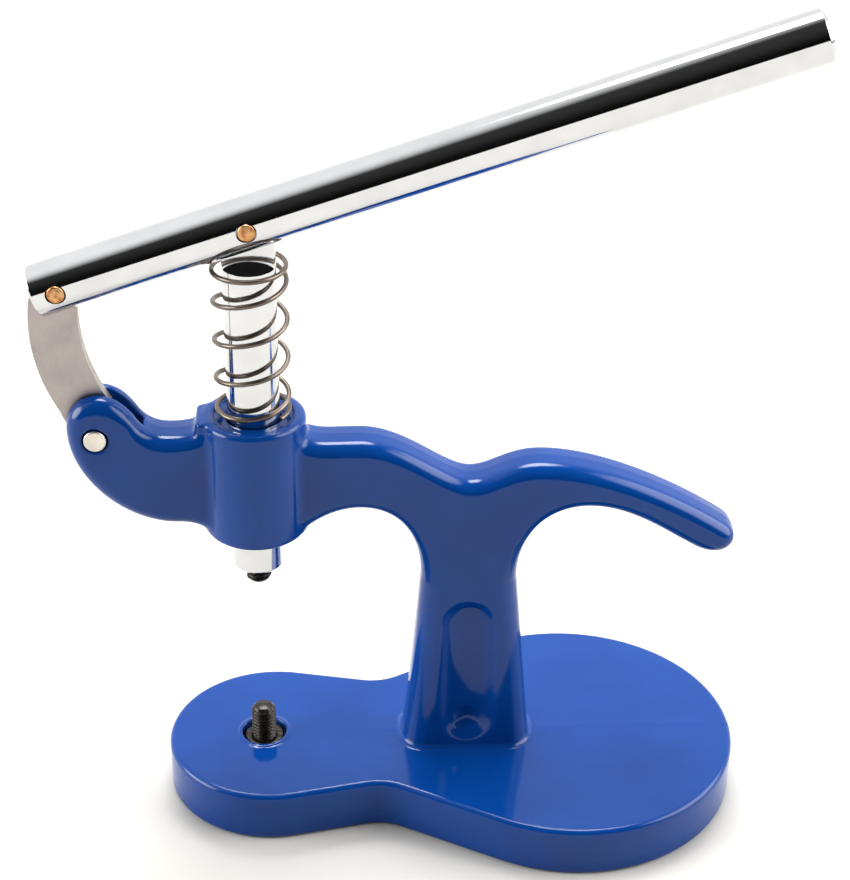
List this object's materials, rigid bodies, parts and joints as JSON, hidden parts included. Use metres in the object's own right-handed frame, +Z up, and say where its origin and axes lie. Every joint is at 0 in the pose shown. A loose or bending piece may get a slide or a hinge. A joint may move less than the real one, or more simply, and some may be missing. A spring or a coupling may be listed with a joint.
{
  "type": "arbor press",
  "caption": "Bench hand-lever press: blue cast frame with figure-eight base, guide boss, clevis and hand horn, sprung round ram, straight bar lever and curved link.",
  "frame": {"origin": "on the ram's axis at the bench plane, the base's underside", "axes": "+Z up along the ram; +X from the ram towards the hand horn; +Y to the back, across the lever"},
  "size_m": [0.1731, 0.0814, 0.1984],
  "materials": {
    "blue_enamel": "deep glossy royal-blue enamel over a casting",
    "black_oxide": "black oxide, satin, with thread",
    "spring_steel": "drawn spring wire, brownish grey",
    "pin_steel": "satin steel with a slightly domed head",
    "chrome": "bright mirror chrome plate",
    "yellow_zinc": "yellow-passivated zinc plate",
    "ground_steel": "ground warm-grey steel plate"
  },
  "bodies": {
    "frame": {"frame_casting": "blue_enamel", "die_stud": "black_oxide", "return_spring": "spring_steel", "clevis_pin": "pin_steel"},
    "slide": {"ram": "chrome", "ram_die_stud": "black_oxide"},
    "handle": {"lever_bar": "chrome", "ram_pin": "yellow_zinc", "link_pin": "yellow_zinc"},
    "link": {"link_plate": "ground_steel"}
  },
  "joints": [
    {"name": "ram_slide", "type": "slide", "parent": "frame", "child": "slide", "axis": [0, 0, -1], "range_m": [0, 0.0216], "stiffness_N_per_m": 600, "springref_m": -0.015, "deforming": ["return_spring"]},
    {"name": "lever_pivot", "type": "hinge", "parent": "slide", "child": "handle", "pos_m": [0, 0, 0.1513], "axis": [0, 1, 0], "range_deg": [0, 28]},
    {"name": "link_pivot", "type": "hinge", "parent": "handle", "child": "link", "pos_m": [-0.04161, 0, 0.13714], "axis": [0, 1, 0], "range_deg": [-32.5, 0]}
  ],
  "couplings": [
    {"joint": "ram_slide", "follows": "lever_pivot", "m_per_rad": 0.04406},
    {"joint": "link_pivot", "follows": "lever_pivot", "ratio": -1.15}
  ]
}
